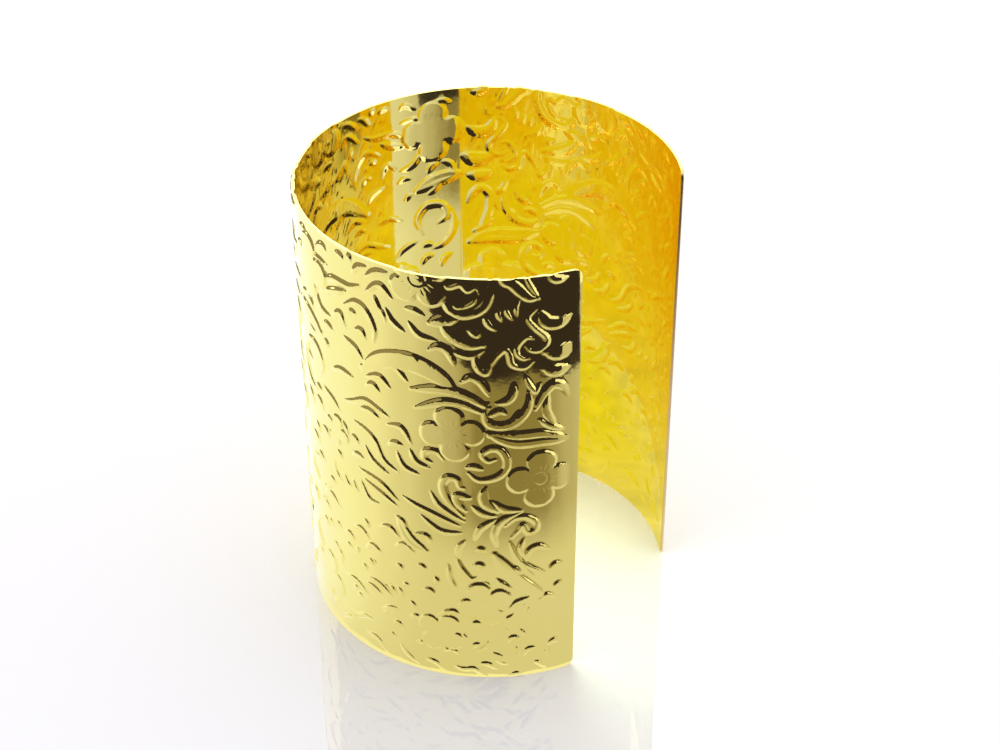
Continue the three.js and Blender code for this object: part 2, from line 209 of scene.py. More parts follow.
# %% The pattern's chart: short commas
# A comma has a width, its two ends, and how far its middle bows to the left of the way from the
# first end to the last, as a share of its length.
commas = (
    # width, first end, last end, bow
    (1.1, (24.2, 71.3), (27.1, 71.9), 0.1),
    (1.1, (30.6, 68.5), (31.3, 70.5), 0.1),
    (1.2, (36.2, 67.8), (37.6, 67.8), 0.1),
    (1.2, (36.8, 76.8), (37.3, 78.2), 0.0),
    (1.2, (38.4, 76.6), (40.2, 77.0), 0.2),
    (1.2, (42.5, 73.6), (49.4, 72.4), 0.1),
    (1.2, (41.8, 62.2), (44.4, 62.5), 0.15),
    (1.3, (37.4, 55.6), (42.7, 54.7), 0.12),
    (1.2, (43.3, 58.2), (44.4, 59.3), 0.2),
    (1.2, (32.4, 50.0), (36.2, 50.5), 0.15),
    (1.2, (28.3, 46.3), (30.8, 45.5), 0.2),
    (1.2, (23.8, 43.1), (27.0, 45.9), -0.2),
    (1.2, (37.4, 33.3), (38.4, 35.2), -0.15),
    (1.2, (39.1, 33.3), (40.6, 35.4), -0.15),
    (1.2, (41.4, 33.1), (43.5, 36.4), -0.15),
    (1.2, (46.1, 48.3), (48.6, 48.1), 0.2),
    (1.2, (42.4, 44.4), (43.8, 44.9), 0.2),
    (1.2, (44.5, 39.9), (46.8, 41.4), 0.2),
    (1.2, (47.9, 38.9), (49.2, 40.7), 0.2),
    (1.2, (36.9, 42.9), (38.4, 44.2), 0.2),
    (1.2, (35.8, 40.7), (38.4, 40.2), 0.2),
    (1.2, (41.1, 37.9), (42.4, 38.9), 0.2),
    (1.2, (46.4, 33.9), (49.6, 34.4), 0.2),
    (1.2, (43.2, 31.4), (45.4, 31.8), 0.2),
    (1.2, (28.0, 29.9), (29.9, 31.8), 0.15),
    (1.3, (3.5, 16.6), (6.4, 16.2), 0.3),
    (1.3, (2.0, 19.0), (3.8, 18.2), 0.3),
    (1.3, (2.1, 23.2), (4.6, 22.2), 0.3),
    (1.2, (9.2, 8.7), (11.7, 8.0), 0.3),
    (1.3, (2.1, 6.2), (5.0, 6.4), 0.3),
    (1.2, (6.6, 6.4), (8.9, 4.7), 0.25),
    (1.2, (17.7, 8.5), (20.0, 8.7), 0.3),
    (1.2, (19.3, 5.2), (22.3, 5.5), 0.3),
    (1.2, (23.9, 5.7), (26.9, 6.0), 0.3),
    (1.2, (23.2, 17.2), (25.5, 17.9), 0.3),
    (1.2, (15.1, 24.0), (16.9, 24.4), 0.3),
    (1.2, (10.5, 24.2), (9.2, 22.4), 0.0),
    (1.2, (5.1, 1.6), (7.1, 3.3), 0.1),
    (1.2, (13.2, 2.3), (16.2, 3.6), 0.15),
    (1.2, (22.0, 1.4), (25.3, 3.1), 0.15),
    (1.2, (15.9, 7.9), (17.4, 6.7), 0.15),
    (1.2, (15.1, 27.5), (16.4, 27.6), 0.3),
    (1.2, (22.9, 19.5), (23.3, 21.2), 0.1),
    (1.2, (24.7, 22.3), (26.2, 23.1), 0.1),
    (1.2, (24.0, 10.1), (25.0, 10.5), 0.2),
    (1.3, (29.4, 27.6), (33.4, 28.0), 0.3),
    (1.2, (11.2, 18.4), (13.9, 17.6), 0.25),
    (1.2, (14.3, 19.9), (16.0, 20.1), 0.3),
    (1.2, (16.9, 17.0), (19.0, 16.7), 0.15),
    (1.2, (15.6, 12.3), (17.4, 11.7), 0.2),
    (1.2, (19.2, 13.9), (22.6, 13.0), 0.25),
    (1.2, (11.9, 4.3), (13.8, 5.6), -0.15),
    (1.2, (9.0, 0.9), (11.2, 0.6), 0.15),
    (1.1, (27.9, 18.1), (28.8, 17.6), 0.2),
    (1.1, (33.2, 10.6), (30.0, 12.2), -0.1),
    (1.1, (38.4, 12.4), (39.8, 11.6), 0.15),
    (1.2, (42.6, 15.6), (43.4, 17.9), 0.2),
    (1.1, (39.6, 20.2), (41.0, 20.6), 0.2),
    (1.1, (37.8, 21.2), (38.4, 19.9), 0.1),
    (1.1, (45.0, 21.6), (46.2, 22.6), 0.2),
    (1.1, (34.8, 19.2), (35.6, 20.4), 0.1),
    (1.1, (36.4, 17.4), (37.0, 18.6), 0.1),
    (1.3, (26.8, 25.4), (30.2, 25.5), 0.3),
    (1.3, (35.5, 24.6), (39.0, 25.4), 0.25),
    (1.3, (33.0, 23.0), (36.2, 22.3), 0.3),
    (1.3, (38.8, 22.5), (41.4, 22.6), 0.3),
    (1.2, (42.4, 22.8), (43.9, 23.1), 0.3),
    (1.3, (46.6, 20.4), (48.6, 21.6), 0.3),
    (1.2, (29.0, 20.7), (30.1, 21.8), 0.2),
    (1.2, (29.1, 8.1), (31.1, 8.9), 0.3),
    (1.2, (31.1, 14.3), (36.0, 16.5), 0.1),
    (1.2, (33.1, 13.8), (36.7, 14.8), 0.1),
    (1.1, (26.7, 13.2), (27.7, 14.8), 0.1),
    (1.1, (29.2, 15.2), (29.9, 16.9), 0.1),
    (1.1, (30.5, 15.2), (31.4, 16.5), 0.1),
    (1.2, (29.9, 11.9), (33.1, 9.8), 0.1),
    (1.2, (25.9, 11.9), (27.7, 11.1), 0.2),
    (1.2, (37.5, 11.0), (38.7, 10.9), 0.2),
    (1.1, (30.8, 5.4), (31.6, 6.4), 0.1),
    (1.2, (35.5, 26.9), (36.3, 28.3), 0.1),
    (1.2, (39.9, 4.6), (43.1, 3.2), 0.15),
    (1.3, (44.0, 6.0), (46.0, 3.0), 0.2),
    (1.3, (45.4, 24.6), (49.4, 25.2), 0.2),
    (1.3, (47.6, 29.0), (45.0, 30.0), 0.2),
    (1.3, (48.0, 36.6), (51.6, 37.6), 0.2),
    (1.3, (49.8, 43.6), (51.8, 46.2), 0.2),
    (1.3, (46.0, 44.6), (48.4, 46.4), 0.2),
    (1.3, (50.6, 23.0), (52.6, 25.4), 0.2),
    (1.3, (48.6, 75.4), (52.0, 76.2), 0.2),
    (1.3, (50.2, 65.0), (52.4, 62.6), 0.2),
    (1.3, (47.6, 63.0), (49.6, 64.6), 0.2),
)

# %% The pattern's chart: leaves and flowers
# A leaf is a broad stroke with a groove along its middle.
leaves = (
    # width, points of the middle line
    (3.4, ((2.2, 47.8), (6.0, 48.8), (10.2, 49.0), (14.2, 50.2))),
    (3.0, ((45.4, 59.4), (49.0, 60.8), (53.6, 61.8))),
    (2.4, ((24.6, 25.8), (27.4, 27.4), (29.4, 30.8))),
)
# A flower has its middle, the angle of its first petal, its size, and 1 if a ring marks its middle.
flowers = (
    # across, up, turn, size, ring
    (6.3, 40.9, 3, 1.0, 1),
    (20.1, 49.9, -8, 0.95, 0),
    (25.0, 77.3, -43, 0.97, 1),
    (15.1, 16.1, -22, 0.85, 1),
    (22.4, 9.2, 35, 0.8, 0),
    (48.6, 70.3, 0, 1.05, 0),
    (42.2, 42.6, 12, 0.6, 1),
    (47.6, 9.6, 15, 1.0, 1),
)

# %% [markdown]
# Embossing is a height above the sheet, so it is first worked out as a height map, like a relief map of
# hills. Each stroke is laid as a run of short straight lines: the height at a point depends on how far
# it lies from the nearest one. Where strokes meet, the higher one wins, as it does under a steel die.

# %% The height map of one repeat
map_step = 0.1
slope_width = 0.5
drape = 0.1
pressed_height = 0.78
crown_height = 0.06
end_height = 0.58
end_bluntness = 0.33
inner_passes = 13
inner_share = 0.74
inner_foot = 0.08
map_columns = round(1000 * sheet_length / repeats / map_step)
map_rows = round(1000 * height / map_step) + 1
square_across = map_columns * map_step / chart_columns
square_up = 1000 * height / chart_rows
strip_repeat = map_columns * map_step
relief_map = np.zeros((map_columns, map_rows))


def blurred(grid):
    """The map with each height averaged with its neighbours'."""
    grid = (2 * grid + np.roll(grid, 1, 0) + np.roll(grid, -1, 0)) / 4
    padded = np.pad(grid, ((0, 0), (1, 1)), "edge")
    return (2 * grid + padded[:, :-2] + padded[:, 2:]) / 4


def smooth(share):
    """A soft step from 0 to 1."""
    share = np.clip(share, 0, 1)
    return share * share * (3 - 2 * share)


def middle_line(points, pieces_each=7):
    """A smooth curve through the points, in millimetres on the sheet."""
    p = np.array(points, float) * (square_across, square_up)
    p = np.vstack([2 * p[0] - p[1], p, 2 * p[-1] - p[-2]])
    t = np.linspace(0, 1, pieces_each, endpoint=False)[:, None]
    line = []
    for a, b, c, d in zip(p, p[1:], p[2:], p[3:]):
        square, cube = 2 * a - 5 * b + 4 * c - d, 3 * b - a - 3 * c + d
        line.append(0.5 * (2 * b + (c - a) * t + square * t**2 + cube * t**3))
    return np.vstack(line + [p[-2][None]])


def near_line(line, reach):
    """The part of the map within reach of a line, and there the distance to it and the share along it."""
    first = np.floor((line.min(0) - reach) / map_step).astype(int)
    last = np.ceil((line.max(0) + reach) / map_step).astype(int) + 1
    columns = np.arange(first[0], last[0])
    rows = np.arange(max(first[1], 0), min(last[1], map_rows))
    x, y = np.meshgrid(columns * map_step, rows * map_step, indexing="ij")
    best = np.full(x.shape, 1e9)
    share = np.zeros(x.shape)
    steps = np.hypot(*np.diff(line, axis=0).T)
    so_far = np.concatenate([[0], np.cumsum(steps)]) / steps.sum()
    for k in range(len(line) - 1):
        (ax, ay), (bx, by) = line[k], line[k + 1]
        t = np.clip(((x - ax) * (bx - ax) + (y - ay) * (by - ay)) / steps[k] ** 2, 0, 1)
        away = np.hypot(x - ax - t * (bx - ax), y - ay - t * (by - ay))
        closer = away < best
        best[closer] = away[closer]
        share[closer] = (so_far[k] + t * (so_far[k + 1] - so_far[k]))[closer]
    return np.ix_(columns % map_columns, rows), best, share


def dome(inside, half, pressed=pressed_height):
    """A steep edge and then a gently domed top: height, by how far a point lies inside the edge."""
    edge = (smooth(inside / slope_width) + np.clip(inside / slope_width, 0, 1)) / 2
    return pressed * edge + crown_height * smooth(inside / max(half, 1))


def raise_stroke(points, width, edge):
    """Edge is 1 if the points follow the upper edge, -1 for the lower one and 0 for the middle."""
    half = (width + drape) / 2
    line = middle_line(points) - (0, edge * (half - slope_width / 2))
    where, away, share = near_line(line, half + map_step)
    half_here = half * np.sin(math.pi * np.clip(share, 0.03, 0.97)) ** end_bluntness
    pressed = end_height + (pressed_height - end_height) * np.sin(math.pi * share)
    relief_map[where] = np.maximum(relief_map[where], dome(half_here - away, half, pressed))


def press_groove(points, width, depth):
    """A groove along the middle of what is raised already."""
    where, away, share = near_line(middle_line(points), width)
    half_here = width / 2 * np.sqrt(np.sin(math.pi * np.clip(share, 0.02, 0.98)))
    relief_map[where] -= depth * smooth((half_here - away) / (width / 2)) * (relief_map[where] > depth)


# %% Laying the chart on the map
flower_radius = 5.6
notch_reach = 2.7
petal_fullness = 0.23
veins = (-0.36, 0, 0.36)
vein_start, vein_end = 1.7, 3.2
vein_width, vein_depth = 0.22, 0.1
eye_radius = 1.2
eye_width, eye_depth = 0.3, 0.12
groove_width, groove_depth = 0.9, 0.3


def raise_flower(across, up, turn, size, ring):
    """Four broad petals, fused round the middle, with three veins each and, where charted, a ringed eye."""
    middle = np.array([across * square_across, up * square_up])
    where, away, _ = near_line(np.array([middle, middle + (0.01, 0)]), 1.1 * size * flower_radius)
    columns, rows = where
    x = (columns * map_step - middle[0] + strip_repeat / 2) % strip_repeat - strip_repeat / 2
    y = rows * map_step - middle[1]
    angle = np.arctan2(y, x) - math.radians(turn)
    fullness = (0.004 + np.cos(2 * angle) ** 2) ** petal_fullness
    reach = size * (notch_reach + (flower_radius - notch_reach) * fullness)
    inside = reach - away
    steep = np.maximum(np.hypot(*np.gradient(inside, map_step)), 1)
    raised = dome(np.where(away < 0.8 * size * notch_reach, inside, inside / steep), size * flower_radius)
    in_petal = (angle + math.pi / 4) % (math.pi / 2) - math.pi / 4
    for vein in veins:
        shown = smooth((away - vein_start * size) / 0.3) * smooth((vein_end * size - away) / 0.8)
        raised -= vein_depth * shown * smooth(1 - away * abs(in_petal - vein) / vein_width)
    if ring:
        raised -= eye_depth * smooth(1 - abs(away - size * eye_radius) / eye_width)
    relief_map[where] = np.where(inside > 0, np.clip(raised, 0, 1), relief_map[where])


for width, points in low_strokes:
    raise_stroke(points, width, -1)
for width, points in high_strokes:
    raise_stroke(points, width, 1)
for width, first, last, bow in commas:
    (ax, ay), (bx, by) = first, last
    middle = ((ax + bx) / 2 - bow * (by - ay), (ay + by) / 2 + bow * (bx - ax))
    raise_stroke((first, middle, last), width, 1)
for width, points in leaves:
    raise_stroke(points, width, 0)
    press_groove(points, groove_width, groove_depth)
for row in flowers:
    raise_flower(*row)
relief_map = blurred(relief_map)
soft_map = relief_map
for _ in range(inner_passes):
    soft_map = blurred(soft_map)
soft_map = np.clip(soft_map - inner_foot, 0, None)
raised_share = (relief_map > 0.5).mean()
print(f"height map of {map_columns} by {map_rows} points, {100 * raised_share:.0f}% of it raised")

# %% [markdown]
# The rollers grip the strip near its free ends, and there the embossing is pressed nearly flat. So the
# height fades out over the last millimetres. On the inner side the dents are softer than the motifs
# outside, as sheet bends round a die's edges. A blurred copy of the map stands for them.

# %% Height and steepness anywhere on the sheet
plain_border = 1.2
fade_length = 2.6
probe = 0.06
strip = 1000 * sheet_length


def sample(grid, from_end, up):
    """The map's value between its points. from_end counts from the chart's first end of the strip."""
    c = from_end / map_step
    r = np.clip(up / map_step, 0, map_rows - 1.001)
    c0, r0 = np.floor(c).astype(int), np.floor(r).astype(int)
    cf, rf = c - c0, r - r0
    c0, c1 = c0 % map_columns, (c0 + 1) % map_columns
    return ((grid[c0, r0] * (1 - cf) + grid[c1, r0] * cf) * (1 - rf)
            + (grid[c0, r0 + 1] * (1 - cf) + grid[c1, r0 + 1] * cf) * rf)


def relief(from_end, up, grid=relief_map):
    """Height of the embossing in millimetres."""
    near = np.minimum(from_end, strip - from_end)
    fade = smooth((near - plain_border) / fade_length)
    return 1000 * relief_height * fade * sample(grid, from_end, up)


def slopes(along, up, grid):
    """How steeply the embossing rises along the strip and up it."""
    rise_along = relief(strip - along - probe, up, grid) - relief(strip - along + probe, up, grid)
    rise_up = relief(strip - along, up + probe, grid) - relief(strip - along, up - probe, grid)
    return np.stack([rise_along, rise_up]) / (2 * probe)


# %% [markdown]
# The sheet's mesh should have small faces on the embossing and large ones on the plain metal between.
# One way is to draw each motif as its own mesh. Here a very fine grid takes the height map, and Blender's
# Decimate modifier merges faces wherever the sheet is nearly flat, which finds the motifs by itself. The
# height is overstated for that step alone, so that the modifier fusses over the motifs.

# %% A fine grid, thinned out
grid_step = 0.2
faces_a_side = 97000
fuss = 2.2
corner_steps = 10
wrap_room = 0.5
start_angle = half_gap - math.pi / 2


def rolled(along, up, out):
    """A point of the rolled strip, by its place along and up, and out from the axis."""
    angle = start_angle + along / (1000 * outer_radius)
    return np.stack([out * np.cos(angle), out * np.sin(angle) + 1000 * axis_y, up], -1) * MM


def edge_rise(along):
    """How far the rounded corner lifts the strip's lower edge."""
    radius = 1000 * corner_radius
    near = np.clip(np.minimum(along, strip - along), 0, radius)
    return radius - np.sqrt(radius**2 - (radius - near) ** 2)


def mesh_of(name, points, faces):
    mesh = bpy.data.meshes.new(name)
    mesh.from_pydata(points.tolist(), [], faces.tolist())
    mesh.update()
    return mesh


def points_of(mesh):
    """A mesh's points in millimetres, counted from the ring's axis."""
    at = np.empty(3 * len(mesh.vertices))
    mesh.vertices.foreach_get("co", at)
    return at.reshape(-1, 3) / MM - (0, 1000 * axis_y, 0)


def along_of(angle):
    """How far along the strip an angle lies. The room keeps the first end's points from wrapping round."""
    return (np.mod(angle - start_angle + wrap_room, 2 * math.pi) - wrap_room) * 1000 * outer_radius


radius = 1000 * corner_radius
corner_places = radius * (1 - np.cos(np.linspace(0, math.pi / 2, corner_steps)))
inner_places = np.linspace(radius, strip - radius, round((strip - 2 * radius) / grid_step) + 1)[1:-1]
places = np.concatenate([corner_places, inner_places, strip - corner_places[::-1]])
rows = round(1000 * height / grid_step) + 1
along = np.repeat(places, rows)
rise = edge_rise(along)
up = rise + np.tile(np.linspace(0, 1, rows), len(places)) * (1000 * height - 2 * rise)
corners = (np.arange(len(places) - 1)[:, None] * rows + np.arange(rows - 1)).ravel()
quads = np.stack([corners, corners + rows, corners + rows + 1, corners + 1], -1)
overstated = 1000 * outer_radius + fuss * relief(strip - along, up)
fine = bpy.data.objects.new("fine", mesh_of("fine", rolled(along, up, overstated), quads))
bpy.context.scene.collection.objects.link(fine)
thin = fine.modifiers.new("thin", "DECIMATE")
thin.ratio = faces_a_side / (2 * len(quads))
skin = fine.evaluated_get(bpy.context.evaluated_depsgraph_get()).to_mesh()
at = points_of(skin)
skin.calc_loop_triangles()
triangles = np.empty(3 * len(skin.loop_triangles), int)
skin.loop_triangles.foreach_get("vertices", triangles)
triangles = triangles.reshape(-1, 3)
along = along_of(np.arctan2(at[:, 1], at[:, 0]))
up = np.clip(at[:, 2], 0, 1000 * height)
bpy.data.objects.remove(fine)
print(f"fine grid of {2 * len(quads)} triangles, thinned to {len(triangles)}")

# %% [markdown]
# Now the strip can be rolled. Bending is a rule, the same for every point: how far a point lies along the
# strip becomes an angle, and how far it stands off the sheet becomes a distance from the axis. Geometry
# Nodes suit a rule like that. The tree takes the flat outer skin, pushes it out to give the sheet its
# thickness, closes it underneath and round the edges, and rolls it.

# %% Helpers for building node trees
def add_node(tree, kind, inputs=None, **settings):
    node = tree.nodes.new(kind)
    for key, value in settings.items():
        setattr(node, key, value)
    for key, value in (inputs or {}).items():
        if isinstance(value, bpy.types.NodeSocket):
            tree.links.new(value, node.inputs[key])
        else:
            node.inputs[key].default_value = value
    return node


def math_node(tree, operation, first, second=0.0):
    node = add_node(tree, "ShaderNodeMath", operation=operation)
    for socket, value in zip(node.inputs, (first, second)):
        if isinstance(value, bpy.types.NodeSocket):
            tree.links.new(value, socket)
        else:
            socket.default_value = value
    return node.outputs[0]


# %% The tree that thickens and rolls the strip
touching = 1e-6


def rolling_tree():
    tree = bpy.data.node_groups.new("roll_the_strip", "GeometryNodeTree")
    face = tree.interface
    face.new_socket("Geometry", in_out="INPUT", socket_type="NodeSocketGeometry")
    for name in ("Thickness", "Radius", "Start Angle", "Axis Y"):
        face.new_socket(name, in_out="INPUT", socket_type="NodeSocketFloat")
    face.new_socket("Material", in_out="INPUT", socket_type="NodeSocketMaterial")
    face.new_socket("Geometry", in_out="OUTPUT", socket_type="NodeSocketGeometry")
    source = tree.nodes.new("NodeGroupInput").outputs
    height_here = add_node(tree, "GeometryNodeInputNamedAttribute", {"Name": "relief"}, data_type="FLOAT")
    lift = add_node(tree, "ShaderNodeCombineXYZ", {"Z": height_here.outputs["Attribute"]})
    pressed = add_node(tree, "GeometryNodeSetPosition", {
        "Geometry": source["Geometry"], "Offset": lift.outputs[0]})
    pushed = add_node(tree, "GeometryNodeExtrudeMesh", {
        "Mesh": pressed.outputs[0], "Offset": (0, 0, 1), "Offset Scale": source["Thickness"],
        "Individual": False})
    under = add_node(tree, "GeometryNodeFlipFaces", {"Mesh": pressed.outputs[0]})
    both = tree.nodes.new("GeometryNodeJoinGeometry")
    tree.links.new(under.outputs[0], both.inputs[0])
    tree.links.new(pushed.outputs["Mesh"], both.inputs[0])
    closed = add_node(tree, "GeometryNodeMergeByDistance", {
        "Geometry": both.outputs[0], "Distance": touching})
    here = tree.nodes.new("GeometryNodeInputPosition").outputs[0]
    place = add_node(tree, "ShaderNodeSeparateXYZ", {0: here})
    turned = math_node(tree, "DIVIDE", place.outputs["X"], source["Radius"])
    angle = math_node(tree, "ADD", turned, source["Start Angle"])
    inner = math_node(tree, "SUBTRACT", source["Radius"], source["Thickness"])
    out = math_node(tree, "ADD", place.outputs["Z"], inner)
    x = math_node(tree, "MULTIPLY", out, math_node(tree, "COSINE", angle))
    from_axis_y = math_node(tree, "MULTIPLY", out, math_node(tree, "SINE", angle))
    y = math_node(tree, "ADD", from_axis_y, source["Axis Y"])
    round_place = add_node(tree, "ShaderNodeCombineXYZ", {"X": x, "Y": y, "Z": place.outputs["Y"]})
    bent = add_node(tree, "GeometryNodeSetPosition", {
        "Geometry": closed.outputs[0], "Position": round_place.outputs[0]})
    real = add_node(tree, "GeometryNodeRealizeInstances", {"Geometry": bent.outputs[0]})
    coated = add_node(tree, "GeometryNodeSetMaterial", {
        "Geometry": real.outputs[0], "Material": source["Material"]})
    tree.links.new(coated.outputs[0], tree.nodes.new("NodeGroupOutput").inputs[0])
    return tree


# %% [markdown]
# The finish is a thin plate of pale gold over polished brass. It is almost a mirror, so what shows is
# mostly the room. Still, no plate is perfect: its colour drifts a little, handling leaves it hazier in
# some places, and rolling leaves a faint waviness. Noise at three scales gives each of these.

# %% The gold plate and the bare cut edge
drift_scale, haze_scale, wave_scale = 90, 160, 420


def noise(tree, scale, detail=2.0):
    place = add_node(tree, "ShaderNodeTexCoord").outputs["Object"]
    clouds = add_node(tree, "ShaderNodeTexNoise", {"Vector": place, "Scale": scale, "Detail": detail})
    return clouds.outputs["Fac"]


def spread(tree, value, low_end, high_end):
    """Noise keeps to the middle of its range, so that middle is spread over the range asked for."""
    return add_node(tree, "ShaderNodeMapRange", {
        "Value": value, "From Min": 0.3, "From Max": 0.7, "To Min": low_end, "To Max": high_end}).outputs[0]


def metal(name, colour_a, colour_b, haze, wave_height):
    material = bpy.data.materials.new(name)
    material.use_nodes = True
    tree = material.node_tree
    shader = tree.nodes["Principled BSDF"]
    shader.inputs["Metallic"].default_value = 1.0
    drift = add_node(tree, "ShaderNodeMix", data_type="RGBA")
    tree.links.new(spread(tree, noise(tree, drift_scale), 0, 1), drift.inputs["Factor"])
    drift.inputs["A"].default_value = (*colour_a, 1)
    drift.inputs["B"].default_value = (*colour_b, 1)
    tree.links.new(drift.outputs["Result"], shader.inputs["Base Color"])
    tree.links.new(spread(tree, noise(tree, haze_scale, 4), *haze), shader.inputs["Roughness"])
    waves = add_node(tree, "ShaderNodeBump", {
        "Strength": 1.0, "Distance": wave_height, "Height": noise(tree, wave_scale, 3)})
    tree.links.new(waves.outputs[0], shader.inputs["Normal"])
    return material


gold_plate = metal(
    "polished_gold_plate", colour_a=(0.97, 0.83, 0.26), colour_b=(0.98, 0.85, 0.29),
    haze=(0.03, 0.07), wave_height=0.009 * MM)
cut_edge = metal(
    "cut_edge", colour_a=(0.80, 0.58, 0.34), colour_b=(0.88, 0.66, 0.38),
    haze=(0.18, 0.32), wave_height=0.02 * MM)

# %% Rolling the strip
flat_points = np.stack([along, up, 0 * up], -1) * MM
flat = bpy.data.objects.new("cuff_sheet", mesh_of("cuff_sheet", flat_points, triangles))
bpy.context.scene.collection.objects.link(flat)
lift_here = flat.data.attributes.new("relief", "FLOAT", "POINT")
lift_here.data.foreach_set("value", relief(strip - along, up) * MM)
roll = flat.modifiers.new("roll", "NODES")
roll.node_group = rolling_tree()
sockets = roll.node_group.interface.items_tree
socket_of = {item.name: item.identifier for item in sockets if item.in_out == "INPUT"}
for name, value in {"Thickness": sheet_thickness, "Radius": outer_radius, "Start Angle": start_angle,
                    "Axis Y": axis_y, "Material": gold_plate}.items():
    roll[socket_of[name]] = value
wall = bpy.data.meshes.new_from_object(flat.evaluated_get(bpy.context.evaluated_depsgraph_get()))
flat.modifiers.clear()
flat.data = wall
cuff = flat
cuff.name = wall.name = "embossed_cuff"
print(f"rolled wall of {len(wall.vertices)} points and {len(wall.polygons)} faces")

# %% [markdown]
# A mirror shows every facet, because it reflects by the surface's normals. Blender's smooth shading
# guesses them from the faces around each point. The height map knows better: its steepness gives the
# true normal at any point, so these are written into the mesh. Round the edges, normals that lean
# between the face and the edge make the corner look softly broken, as filing leaves it.

# %% True normals
edge_softness = 0.45
draw_share = 0.3
draw_limit = 0.4
upright_limit = 0.6
at = points_of(wall)
out = np.hypot(at[:, 0], at[:, 1])
angle = np.arctan2(at[:, 1], at[:, 0])
along = along_of(angle)
up = at[:, 2]
is_outer = out - relief(strip - along, up) > 1000 * (outer_radius - sheet_thickness / 2)

corner_point = np.empty(len(wall.loops), int)
wall.loops.foreach_get("vertex_index", corner_point)
sizes = np.empty(len(wall.polygons), int)
wall.polygons.foreach_get("loop_total", sizes)
face_normals = np.empty(3 * len(wall.polygons))
wall.polygons.foreach_get("normal", face_normals)
face_normals = face_normals.reshape(-1, 3)
corner_face = np.repeat(np.arange(len(sizes)), sizes)
outer_corners = np.bincount(corner_face, is_outer[corner_point])
is_edge = (outer_corners > 0) & (outer_corners < sizes)


def drawn_in(values):
    """Each face corner's value, moved a little towards the face's middle.

    The slope at a motif's very edge belongs to neither side, and would leave streaks in long faces.
    """
    middle = np.bincount(corner_face, values[corner_point]) / sizes
    way = middle[corner_face] - values[corner_point]
    return values[corner_point] + np.clip(draw_share * way, -draw_limit, draw_limit)


along_here, up_here = drawn_in(along), drawn_in(up)
slope_along, slope_up = np.where(
    is_outer[corner_point],
    slopes(along_here, up_here, relief_map),
    inner_share * slopes(along_here, up_here, soft_map))
bend = out[corner_point] / (1000 * outer_radius)
outward = np.stack([np.cos(angle), np.sin(angle), 0 * angle], -1)[corner_point]
sideways = np.stack([-np.sin(angle), np.cos(angle), 0 * angle], -1)[corner_point]
corner_normals = bend[:, None] * outward - slope_along[:, None] * sideways
corner_normals[:, 2] -= bend * slope_up
corner_normals /= np.linalg.norm(corner_normals, axis=1, keepdims=True)
corner_normals[~is_outer[corner_point]] *= -1
on_edge = is_edge[corner_face]
corner_normals[on_edge] = face_normals[corner_face[on_edge]] + edge_softness * corner_normals[on_edge]
corner_normals /= np.linalg.norm(corner_normals, axis=1, keepdims=True)
wall.shade_smooth()
wall.normals_split_custom_set(corner_normals.tolist())
wall.materials.clear()
for finish in (gold_plate, cut_edge):
    wall.materials.append(finish)
is_end = is_edge & (abs(face_normals[:, 2]) < upright_limit)
wall.polygons.foreach_set("material_index", is_end.astype(int))
print(f"{is_edge.sum()} edge faces, {is_end.sum()} of them on the free ends")

# %% [markdown]
# The bracelet stands in a white box of soft light that is open towards the camera, which is how small
# bright metal is usually lit. A mirror shows that opening as a dark shape, and the shape is what makes
# polished metal look like metal. Glowing cards that only reflections see are painted reflections of what
# the metal mirrors: the dark opening, the dim left side, and the lit floor, which is bright at the ring's
# foot and golden inside the ring, where the gold wall throws its light on it. The floor that the camera
# sees lies just above those cards, and the metal ignores it.

# %% The camera
view_turn = math.radians(-59.52)
camera_place = (1.8, -289.1, 239.9)
camera_dip = math.radians(34.69)


def around(right, ahead, up):
    """A place in millimetres as the camera's heading has it, counted from the ring's axis."""
    c, s = math.cos(view_turn), math.sin(view_turn)
    return Vector((right * c - ahead * s, right * s + ahead * c + axis_y / MM, up)) * MM


camera_data = bpy.data.cameras.new("camera")
camera_data.lens = 75.33
camera_data.sensor_width = 36
camera_data.clip_start = 0.01
camera = bpy.data.objects.new("camera", camera_data)
camera.location = around(*camera_place)
camera.rotation_euler = (math.pi / 2 - camera_dip, 0, view_turn)
bpy.context.scene.collection.objects.link(camera)
bpy.context.scene.camera = camera

# %% The floor that the camera sees, and how the cards give light
def card(name, outline, material, seen=False):
    """A flat or bent card. Unless it is seen, only reflections show it."""
    points = [around(*place) for place in outline]
    mesh = bpy.data.meshes.new(name)
    mesh.from_pydata(points, [], [tuple(range(len(points)))])
    mesh.materials.append(material)
    piece = bpy.data.objects.new(name, mesh)
    bpy.context.scene.collection.objects.link(piece)
    if not seen:
        piece.visible_camera = piece.visible_diffuse = False
        piece.visible_shadow = piece.visible_transmission = False
    return piece


def glow(name, colour):
    """A material that gives light of its own: a colour, or a function that makes one in its node tree."""
    material = bpy.data.materials.new(name)
    material.use_nodes = True
    tree = material.node_tree
    tree.nodes.clear()
    light = colour(tree) if callable(colour) else (*colour, 1)
    shine = add_node(tree, "ShaderNodeEmission", {"Color": light})
    add_node(tree, "ShaderNodeOutputMaterial", {"Surface": shine.outputs[0]})
    return material


def ramp_of(tree, share, stops, largest):
    """A colour for each share: stops are (share, level, warmth) with levels up to the largest."""
    ramp = tree.nodes.new("ShaderNodeValToRGB")
    ramp.color_ramp.interpolation = "EASE"
    while len(ramp.color_ramp.elements) < len(stops):
        ramp.color_ramp.elements.new(0.5)
    for element, (place, level, warmth) in zip(ramp.color_ramp.elements, stops):
        level /= largest
        element.position = place
        element.color = (level, level * (1 - 0.3 * warmth), level * (1 - warmth), 1)
    tree.links.new(share, ramp.inputs[0])
    return ramp.outputs[0]


